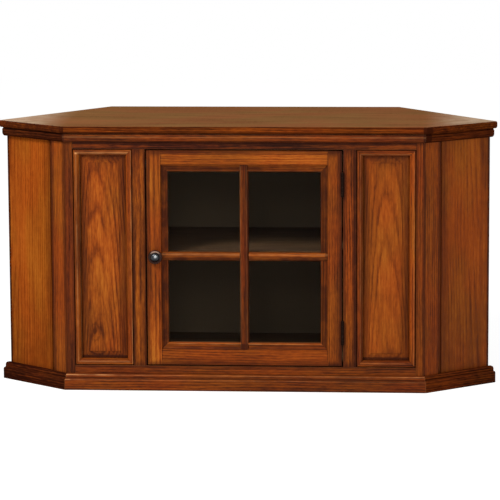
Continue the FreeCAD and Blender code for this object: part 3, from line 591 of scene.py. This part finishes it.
# painted shade under the slab and at the cornice's foot, and a painted highlight along its crest
corniceLines = {
    "dark": [line(2, corniceZ, 0.0050, 0.95), line(2, slabZ - 0.0015, 0.0028, 0.95)],
    "wearAndHighlight": [line(2, slabZ - 0.0082, 0.0022, 0.22)],
}
# painted shade in the creases of the plinth's cap and along the floor
plinthDark = [line(2, plinthZ + 0.0015, 0.0028, 0.85), line(2, capZ + 0.0006, 0.0016, 0.8),
              line(2, 0.0, 0.0060, 0.9)]
# painted highlights along the cap and plinth arrises, brighter as glints near the corners
plinthLines = {
    "dark": plinthDark,
    "wearAndHighlight": [line(2, capZ - 0.0026, 0.0014, 0.26), line(2, plinthZ - 0.0018, 0.0013, 0.18),
             line(2, capZ - 0.0026, 0.0018, 0.85, (0, -0.43, -0.36, 0.12)),
             line(2, plinthZ - 0.0018, 0.0018, 0.80, (0, -0.43, -0.415, 0.008)),
             line(2, capZ - 0.0026, 0.0016, 0.60, (0, 0.38, 0.43, 0.05))],
}
# painted shade on the muntins' ends, where they run into the shaded cove
copedHigh = outward(2, glassHigh, 1, [(0.0050, 0.020, 0.003, 0.8)])
copedLow = outward(2, glassLow, -1, [(0.0040, 0.020, 0.003, 0.85)])
barLow, barHigh = (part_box("muntin_bar_left")[corner].z for corner in (0, 1))
# painted shade on the bars' undersides and a painted highlight along their tops
barShade = [(2, barLow, barLow + 0.0080, 0.0035, 0.95), (2, barHigh - 0.0010, barHigh, 0.0012, 0.7)]
barShine = [(2, barHigh - 0.0070, barHigh - 0.0046, 0.0022, 0.22)]
cornerDark = [(0, -cornerX - 0.0035, -cornerX + 0.0040, 0.003, 1.2),
              (0, cornerX - 0.0050, cornerX + 0.0120, 0.004, 1.6)]
leftMitre = turnedBox("cornice_left", turnOf["left"])[1][0]
rightMitre = turnedBox("cornice_right", turnOf["right"])[0][0]
leftFar = turnedBox("side_panel_left", turnOf["left"])[0][0]
rightFar = turnedBox("side_panel_right", turnOf["right"])[1][0]
# painted shade at the foot of the cornice
corniceFoot = line(2, corniceZ, 0.0070, 0.95)
friezeShadow = [(2, corniceZ - 0.0040, corniceZ + 0.03, 0.0030, 0.95)]
# the side panels grow darker towards the bottom
sideFoot = (2, 0.0, 0.060, 0.24, 0.42)

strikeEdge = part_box("strike_stile")[0].x
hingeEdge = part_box("hinge_stile")[1].x
# a painted shadow line where the raised panels' lower bevel meets the bottom moulding
bevelFoot = (2, 0.0725, 0.0785, 0.0016, 1.5)

# tone: place on the stain's ramp; figure: strength of the grain; pith: the log's middle, beside
# and behind, and its lean; edges: reach of the glaze from the left, right, bottom and top edge,
# with its strength; dark: bands of glaze and of painted shade; the wear bands: bare wood and
# painted highlight; the arris share: bare wood on arrises, which also stands in for their
# highlights
boards = {
    # the top's sheen bands are a painted sheen towards its ends, and its dark line at the slab's
    # underside is painted shade
    "top_panel": {"grain": "flat", "tone": 0.36, "pith": (0.1, 0.4, 0.01),
                  "specular": topWood["specular"], "upperFace": topZ - 0.0001, "arrisWearAndHighlight": 0.0,
                  "sheen": [(0, -0.62, -0.54, 0.13, 0.66), (0, 0.54, 0.62, 0.13, 0.66)],
                  "dark": [line(2, topZ - 0.0024, 0.0026, 0.92), line(2, slabZ, 0.0075, 0.90),
                           *cornerDark, (0, -0.62, -0.428, 0.003, 0.78),
                           (0, 0.428, 0.62, 0.003, 0.66)]},
    "frieze_rail": {"grain": "level", "tone": 0.27, "figure": 1.3, "edges": (0, 0, 0.006, 0),
                    "strength": 0.7, "dark": friezeShadow, "arrisWearAndHighlight": 0.1},
    # the darkening at the bottom rail's top edge is painted shadow under the door
    "bottom_rail": {"grain": "level", "tone": 0.42, "edges": (0, 0, 0, 0.010), "arrisWearAndHighlight": 0.1},
    # the dark bands at the stiles' edges are painted shade along the gaps beside them
    "strike_stile": {"tone": 0.49, "figure": 1.3, "edges": (0.013, 0.012, 0.02, 0.03),
                     "dark": [(0, strikeEdge - 0.001, strikeEdge + 0.0030, 0.0016, 0.95)],
                     "arrisWearAndHighlight": 0.0},
    "hinge_stile": {"tone": 0.41, "figure": 1.2, "edges": (0.010, 0.014, 0.02, 0.03),
                    "dark": [(0, hingeEdge - 0.0045, hingeEdge, 0.0035, 1.2)], "arrisWearAndHighlight": 0.0},
    "outer_stile_left": {"tone": 0.32, "figure": 0.8, "edges": (0.007, 0.006, 0.03, 0.04),
                         "strength": 0.5, "arrisWearAndHighlight": 0.0},
    "outer_stile_right": {"tone": 0.36, "figure": 0.8, "edges": (0.007, 0.006, 0.03, 0.04),
                          "strength": 0.6, "arrisWearAndHighlight": 0.0},
    "corner_post_left": {"face": "left", "tone": 0.53, "figure": 0.8, "specular": 0.02,
                         "edges": (0.032, 0.015, 0.02, 0.03), "strength": 0.85, "arrisWearAndHighlight": 0.0},
    "corner_post_right": {"face": "right", "tone": 0.46, "figure": 0.8,
                          "edges": (0.008, 0.022, 0.02, 0.03), "strength": 0.75, "arrisWearAndHighlight": 0.0},
    # the side panels' dark bands at their back edges are painted shade where the faces turn from
    # the light
    "side_panel_left": {"face": "left", "tone": 0.635, "figure": 0.6, "pith": (0.43, 0.31, 0.03),
                        "edges": (0.008, 0.030, 0.03, 0.012), "strength": 0.55,
                        "dark": [sideFoot, (0, leftFar, leftFar + 0.0045, 0.0060, 1.4),
                                 (0, leftFar, leftFar + 0.010, 0.060, 0.30)],
                        "specular": 0.0, "arrisWearAndHighlight": 0.0},
    "side_panel_right": {"face": "right", "tone": 0.575, "figure": 0.6, "pith": (-0.40, 0.31, 0.02),
                         "edges": (0.040, 0.009, 0.03, 0.012), "strength": 0.6,
                         "dark": [sideFoot, (0, rightFar - 0.0045, rightFar, 0.0050, 1.4),
                                  (0, rightFar - 0.012, rightFar, 0.030, 0.35)],
                         "arrisWearAndHighlight": 0.0},
    "raised_panel_left": {"tone": 0.565, "figure": 1.15, "pith": (0.350, 0.231, 0.06), "seed": 6.3,
                          "edges": (0.058, 0.060, 0.056, 0.066), "strength": 0.72,
                          "recess": panelBevel, "dark": [bevelFoot], "arrisWearAndHighlight": 0.0,
                          "knot": ((-0.354, 0.135), 0.020)},
    "raised_panel_right": {"tone": 0.55, "figure": 0.8, "pith": (-0.335, 0.240, 0.05), "seed": 4.1,
                           "edges": (0.036, 0.060, 0.060, 0.066), "strength": 0.70,
                           "recess": panelBevel, "dark": [bevelFoot], "arrisWearAndHighlight": 0.0},
    "door_stile_knob": {"tone": 0.61, "edges": (0.011, 0, 0.016, 0.020), "dark": stickingLeft,
                        "arrisWearAndHighlight": 0.0},
    "door_stile_hinge": {"tone": 0.48, "edges": (0, 0.016, 0.016, 0.020), "strength": 1.0,
                         "dark": stickingRight, "arrisWearAndHighlight": 0.0},
    "door_rail_top": {"grain": "level", "tone": 0.58, "edges": (0.004, 0.004, 0, 0.014),
                      "dark": stickingTop, "arrisWearAndHighlight": 0.1},
    "door_rail_bottom": {"grain": "level", "tone": 0.59, "edges": (0.004, 0.004, 0.020, 0),
                         "dark": stickingBottom, "wearAndHighlight": outward(2, glassLow, -1, beadHighlight)},
    # painted shade on the muntin's rounded sides and painted highlight lines along them
    "muntin_upright": {"tone": 0.24, "recess": muntinRound, "arrisWearAndHighlight": 0.0,
                       "dark": [(0, 0.0018, 0.0038, 0.002, 0.55), (0, 0.0080, 0.0110, 0.002, 0.55),
                                *copedHigh, *copedLow],
                       "wearAndHighlight": [(0, -0.0096, -0.0080, 0.0012, 0.16),
                                (0, 0.0056, 0.0064, 0.0014, 0.10)]},
    "muntin_bar_left": {"grain": "level", "tone": 0.55, "arrisWearAndHighlight": 0.0, "wearAndHighlight": barShine,
                        "dark": barShade + outward(0, -glassX, -1, [(0.0070, 0.020, 0.004, 0.8)])},
    "muntin_bar_right": {"grain": "level", "tone": 0.53, "arrisWearAndHighlight": 0.0, "wearAndHighlight": barShine,
                         "dark": barShade + outward(0, glassX, 1, [(0.0120, 0.020, 0.003, 0.8)])},
    "cornice_front": {"grain": "level", "tone": 0.34, "dark": corniceLines["dark"] + cornerDark,
                      "wearAndHighlight": corniceLines["wearAndHighlight"], "arrisWearAndHighlight": 0.1},
    "cornice_left": {"grain": "level", "face": "left", "tone": 0.19, "specular": 0.0,
                     "dark": [corniceFoot, (0, leftMitre - 0.005, leftMitre, 0.004, 1.2)],
                     "arrisWearAndHighlight": 0.0},
    "cornice_right": {"grain": "level", "face": "right", "tone": 0.20, "specular": 0.0,
                      "dark": [corniceFoot, (0, rightMitre, rightMitre + 0.014, 0.005, 1.6)],
                      "arrisWearAndHighlight": 0.0},
    "plinth_front": {"grain": "level", "tone": 0.40, **plinthLines},
    "plinth_left": {"grain": "level", "face": "left", "tone": 0.085, "figure": 1.2,
                    "specular": 0.0, "dark": plinthDark, "arrisWearAndHighlight": 0.1},
    "plinth_right": {"grain": "level", "face": "right", "tone": 0.15, "figure": 1.1,
                     "specular": 0.0, "dark": plinthDark, "arrisWearAndHighlight": 0.1},
    "back_side_left": {"tone": 0.42, "edges": (0.004, 0.004, 0.03, 0.01)},
    "back_side_right": {"tone": 0.42, "edges": (0.004, 0.004, 0.03, 0.01)},
}

# tone, then inset, half width and amount of the painted highlight along the crest, then amount of
# the painted shade along the rim
mouldings = {
    "left_left": (0.44, 0.0062, 0.0022, 0.32, 0.95),
    "left_right": (0.46, 0.0016, 0.0013, 0.50, 0.0),
    "left_top": (0.50, 0.0080, 0.0048, 0.46, 0.85),
    "left_bottom": (0.48, 0.0072, 0.0022, 0.26, 0.85),
    "right_left": (0.32, 0.0088, 0.0018, 0.22, 1.3),
    "right_right": (0.50, 0.0032, 0.0018, 0.20, 0.85),
    "right_top": (0.38, 0.0100, 0.0020, 0.34, 0.85),
    "right_bottom": (0.32, 0.0076, 0.0018, 0.18, 0.85),
}
rimHalf = 0.0024
# painted light on the inner foot of a ring's left side, lifting the shade on its slope
footInset, footHalf, footAmount = 0.0143, 0.0022, 0.32

for place, (tone, inset, half, amount, rimShade) in mouldings.items():
    name = f"panel_moulding_{place}"
    edge = place.split("_")[1]
    axis = 0 if edge in ("left", "right") else 2
    side = 0 if edge in ("left", "bottom") else 1
    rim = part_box(name)[side][axis]
    inward = 1 if side == 0 else -1
    boards[name] = {
        "grain": "upright" if axis == 0 else "level",
        "tone": tone,
        "recess": topSlope if edge == "top" else mouldingSlope,
        "arrisWearAndHighlight": 0.0,
        "wearAndHighlight": [line(axis, rim + inward * inset, half, amount)],
        "dark": [line(axis, rim, rimHalf, rimShade)],
    }
    if edge == "left":
        boards[name]["wearAndHighlight"].append(line(axis, rim + footInset, footHalf, footAmount))

# a painted glint on the mitre of the left ring
ringLow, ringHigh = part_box("panel_moulding_left_top")
mitreWithin = (0, ringLow.x + 0.0060, ringLow.x + 0.0110, 0.004)
mitreGlint = line(2, ringHigh.z - 0.0085, 0.0040, 1.6, mitreWithin)
for edge in ("top", "left"):
    boards[f"panel_moulding_left_{edge}"]["wearAndHighlight"].append(mitreGlint)

for name, settings in boards.items():
    dress(softened(name), makeWood(name, settings))
print("boards:", len(boards))


# Dark-stained inside, hardboard back and glue blocks

inside = {"light": colour(112, 80, 56), "dark": colour(78, 55, 38), "roughness": 0.6,
          "streak": ((160, 160, 6), 4, 0.65)}
backBoard = {"light": colour(128, 92, 58), "dark": colour(96, 65, 39), "roughness": 0.7,
             "streak": ((480, 480, 6), 4, 0.65), "stainedInside": colour(118, 95, 74)}
plainWood = {
    "broad": ((14, 14, 3), 2),
    "broadShare": 0.8,
    "tintSpan": (0.3, 0.7),
    "roughFrom": (0.2, 0.8),
    "roughChange": (-0.06, 0.08),
    "relief": 0.0002,
    "specular": 0.1,
    "innerFace": (0.001, 0.004),     # depths where the back's inner stain starts and is full
    "arrisWidth": 0.0006,
    "beadArrisWidth": 0.0005,
}


def makePlainWood(name, settings, grain="upright"):
    made, tree = newMaterial(name)
    place = objectPlace(tree)
    turned = alongGrain(tree, place, grain)
    streak = noise(tree, turned, *settings["streak"])
    broad = sway(tree, noise(tree, turned, *plainWood["broad"]), plainWood["broadShare"], streak)
    shade = remap(tree, broad, *plainWood["tintSpan"])
    tint = mixColour(tree, shade, settings["light"], settings["dark"])
    if "stainedInside" in settings:
        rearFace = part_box("rear_panel")[1].y
        inward = addNode(tree, "SeparateXYZ", {0: place}).outputs[1]
        inner = remap(tree, inward, *(rearFace - depth for depth in plainWood["innerFace"]))
        tint = mixColour(tree, inner, tint, settings["stainedInside"])
    roughTo = (settings["roughness"] + change for change in plainWood["roughChange"])
    finishMaterial(tree, addNode(tree, "BsdfPrincipled", {
        "Base Color": tint,
        "Roughness": remap(tree, streak, *plainWood["roughFrom"], *roughTo, smooth=False),
        "Normal": bumpOf(tree, streak, plainWood["relief"]),
        "Specular IOR Level": plainWood["specular"],
    }))
    return made


insideLevel = makePlainWood("insideLevel", inside, "flat")
insideUpright = makePlainWood("insideUpright", inside)
hardboard = makePlainWood("hardboard", backBoard)
for name, material in (("deck_panel", insideLevel), ("shelf", insideLevel),
                       ("partition_left", insideUpright), ("partition_right", insideUpright),
                       ("rear_panel", hardboard), ("glue_blocks", insideLevel)):
    dress(softened(name, plainWood["arrisWidth"]), material)
for edge in ("bottom", "right", "top", "left"):
    dress(softened(f"glass_bead_{edge}", plainWood["beadArrisWidth"]), insideUpright)
print("inside, back and glazing beads")


# Metal, glass and the catch

metal = {
    "patch": ((130, 130, 130), 4, 0.6),
    "wornSpan": (0.58, 0.8),
    "wornArris": 0.5,
    "patchRoughness": 0.3,
    "grit": ((1900, 1900, 1900), 2),
    "relief": 0.00006,
    "arrisWidth": 0.0003,
}
knobMetal = {
    "tint": colour(58, 61, 64), "wearAndHighlight": colour(92, 94, 94), "roughness": 0.24,
    "domeRadius": 0.0113,
    "domeEdge": 0.0006,
    # painted shade on the dome's underside
    "under": colour(20, 18, 18),
    "underSpan": (-0.0010, -0.0085),     # height below the middle
    # a painted highlight spot on the dome
    "glazeShadeAndHighlight": colour(186, 188, 188),
    "highlightPlace": (0.0014, 0, 0.0026),  # from the middle
    "highlightSpan": (0.0048, 0.0006),      # distance from that place
    "backplate": colour(54, 36, 31),
    # a painted reflection along the plate's upper rim
    "rim": colour(176, 140, 120),
    "rimReflectionSpan": (0.0036, 0.0020),         # distance beyond the dome
    "rimReflectionArc": (0.0070, 0.0115),          # height above the middle
}
bronzeMetal = {"tint": colour(29, 19, 15), "wearAndHighlight": colour(58, 44, 35), "roughness": 0.42}
zincMetal = {"tint": colour(168, 165, 158), "wearAndHighlight": colour(205, 203, 198), "roughness": 0.34}
glass = {"tint": (0.80, 0.83, 0.82, 1.0), "roughness": 0.0, "refraction": 1.06}
plastic = {"tint": colour(48, 34, 25), "grit": ((1500, 1500, 1500), 2),
           "roughSpan": (0.2, 0.8, 0.42, 0.58), "relief": 0.00005}


def lengthOf(tree, vector):
    return addNode(tree, "VectorMath", {0: vector}, operation="LENGTH").outputs["Value"]


def knobTint(tree, place, tint):
    # a dome with painted shade on its underside and a painted highlight spot, on a plate with a
    # painted reflection along its upper rim
    low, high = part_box("knob")
    middle = ((low.x + high.x) / 2, 0, (low.z + high.z) / 2)
    radius = knobMetal["domeRadius"]
    offset = vectorCalc(tree, "MULTIPLY", vectorCalc(tree, "SUBTRACT", place, middle), (1, 0, 1))
    reach = lengthOf(tree, offset)
    upward = addNode(tree, "SeparateXYZ", {0: offset}).outputs[2]
    spot = lengthOf(tree, vectorCalc(tree, "SUBTRACT", offset, knobMetal["highlightPlace"]))
    tint = mixColour(tree, remap(tree, upward, *knobMetal["underSpan"]), tint, knobMetal["under"])
    tint = mixColour(tree, remap(tree, spot, *knobMetal["highlightSpan"]), tint, knobMetal["glazeShadeAndHighlight"])
    rim = remap(tree, reach, *(radius + beyond for beyond in knobMetal["rimReflectionSpan"]))
    rim = calc(tree, "MULTIPLY", rim, remap(tree, upward, *knobMetal["rimReflectionArc"]))
    plate = mixColour(tree, rim, knobMetal["backplate"], knobMetal["rim"])
    return mixColour(tree, remap(tree, reach, radius, radius + knobMetal["domeEdge"]), tint, plate)


def makeMetal(name, settings):
    made, tree = newMaterial(name)
    place = objectPlace(tree)
    patch = noise(tree, place, *metal["patch"])
    grit = noise(tree, place, *metal["grit"])
    arris = addNode(tree, "Attribute", attribute_name="arris").outputs["Fac"]
    wearAndHighlight = calc(tree, "MAXIMUM", remap(tree, patch, *metal["wornSpan"]),
                calc(tree, "MULTIPLY", arris, metal["wornArris"]))
    tint = mixColour(tree, wearAndHighlight, settings["tint"], settings["wearAndHighlight"])
    if settings is knobMetal:
        tint = knobTint(tree, place, tint)
    finishMaterial(tree, addNode(tree, "BsdfPrincipled", {
        "Base Color": tint,
        "Metallic": 1.0,
        "Roughness": sway(tree, patch, metal["patchRoughness"], settings["roughness"]),
        "Normal": bumpOf(tree, grit, metal["relief"]),
    }))
    return made


def makeGlass():
    made, tree = newMaterial("doorGlass")
    pane = addNode(tree, "BsdfPrincipled", {
        "Base Color": glass["tint"],
        "Roughness": glass["roughness"],
        "IOR": glass["refraction"],
        "Transmission Weight": 1.0,
    })
    clear = addNode(tree, "BsdfTransparent", {0: glass["tint"]})
    path = addNode(tree, "LightPath").outputs
    shade = calc(tree, "MAXIMUM", path["Is Shadow Ray"], path["Is Diffuse Ray"])
    finishMaterial(tree, mixShaders(tree, shade, pane, clear))
    return made


def makePlastic():
    made, tree = newMaterial("catchPlastic")
    grit = noise(tree, objectPlace(tree), *plastic["grit"])
    finishMaterial(tree, addNode(tree, "BsdfPrincipled", {
        "Base Color": plastic["tint"],
        "Roughness": remap(tree, grit, *plastic["roughSpan"]),
        "Normal": bumpOf(tree, grit, plastic["relief"]),
    }))
    return made


bronze = makeMetal("bronze", bronzeMetal)
zinc = makeMetal("zinc", zincMetal)
dress(softened("knob", metal["arrisWidth"]), makeMetal("knob", knobMetal))
for name in list(nodes):
    if name == "hinge_pins" or name.endswith("_leaf"):
        dress(softened(name, metal["arrisWidth"]), bronze)
    elif name.startswith(("hinge_screws", "knob_screw", "shelf_pins", "catch_plate")):
        dress(nodes[name], zinc)
dress(nodes["door_glass"], makeGlass())
dress(nodes["catch_magnet"], makePlastic())
print("metal, glass and catch")


# Floor, light and camera

studio = {
    "floorSize": 14.0,
    "floorBounce": 0.8,
    "floorGlow": 0.86,           # what the camera sees without the lamps
    "floorCatch": 0.30,          # how much the floor shows a shadow
    "worldLevel": 0.42,
    "key": {"place": (-2.3, -3.0, 3.5), "size": (1.6, 1.3), "power": 185},
    "fill": {"place": (2.6, -3.4, 1.5), "size": (2.2, 1.8), "power": 30},
    "front": {"place": (-0.1, -4.6, 1.9), "size": (0.5, 0.5), "power": 16},
    "aim": (0, 0, 0.3),
}
white = (1, 1, 1, 1)


def seenDirectly(tree):
    # one for rays that look at the surface, straight, mirrored or through glass
    path = addNode(tree, "LightPath").outputs
    seen = calc(tree, "MAXIMUM", path["Is Camera Ray"], path["Is Glossy Ray"])
    return calc(tree, "MAXIMUM", seen, path["Is Transmission Ray"])


def makeFloor():
    shape = bmesh.new()
    bmesh.ops.create_grid(shape, x_segments=1, y_segments=1, size=studio["floorSize"] / 2)
    mesh = bpy.data.meshes.new("floor")
    shape.to_mesh(mesh)
    shape.free()
    floor = bpy.data.objects.new("floor", mesh)
    bpy.context.scene.collection.objects.link(floor)
    made, tree = newMaterial("paleFloor")
    bounce, catch = (addNode(tree, "BsdfDiffuse", {"Color": (studio[level],) * 3 + (1,)})
                     for level in ("floorBounce", "floorCatch"))
    glow = addNode(tree, "Emission", {"Color": white, "Strength": studio["floorGlow"]})
    shown = addNode(tree, "AddShader", {0: catch.outputs[0], 1: glow.outputs[0]})
    finishMaterial(tree, mixShaders(tree, seenDirectly(tree), bounce, shown))
    dress(floor, made)


def makeWorld():
    world = bpy.data.worlds.new("studio")
    bpy.context.scene.world = world
    world.use_nodes = True
    tree = world.node_tree
    tree.nodes.clear()
    light = addNode(tree, "Background", {"Color": white, "Strength": studio["worldLevel"]})
    shown = addNode(tree, "Background", {"Color": white, "Strength": 1.0})
    mixed = mixShaders(tree, seenDirectly(tree), light, shown)
    output = addNode(tree, "OutputWorld")
    tree.links.new(mixed.outputs[0], output.inputs[0])


def makeLamp(name, settings):
    lamp = bpy.data.lights.new(name, "AREA")
    lamp.shape = "RECTANGLE"
    lamp.size, lamp.size_y = settings["size"]
    lamp.energy = settings["power"]
    holder = bpy.data.objects.new(name, lamp)
    holder.location = settings["place"]
    aim = Vector(studio["aim"]) - holder.location
    holder.rotation_euler = aim.to_track_quat("-Z", "Y").to_euler()
    bpy.context.scene.collection.objects.link(holder)


viewpoint = {
    "place": (0.4073, -6.0779, 1.3199),
    "turn": 0.06665,             # radians to the left
    "tilt": -0.13641,            # radians above level
    "lean": -0.00521,
    "lens": 184.38,
    "sensor": 36.0,
    "shift": -0.15,
    "clip": (0.05, 60.0),
}


def makeCamera():
    camera = bpy.data.cameras.new("camera")
    camera.lens = viewpoint["lens"]
    camera.sensor_width = viewpoint["sensor"]
    camera.shift_y = viewpoint["shift"]
    camera.clip_start, camera.clip_end = viewpoint["clip"]
    holder = bpy.data.objects.new("camera", camera)
    holder.matrix_world = (Matrix.Translation(viewpoint["place"])
                           @ Matrix.Rotation(viewpoint["turn"], 4, "Z")
                           @ Matrix.Rotation(pi / 2 + viewpoint["tilt"], 4, "X")
                           @ Matrix.Rotation(viewpoint["lean"], 4, "Z"))
    bpy.context.scene.collection.objects.link(holder)
    bpy.context.scene.camera = holder


makeFloor()
makeWorld()
for name in ("key", "fill", "front"):
    makeLamp(name, studio[name])
makeCamera()
bpy.context.scene.view_settings.view_transform = "Standard"
print("floor, light and camera")
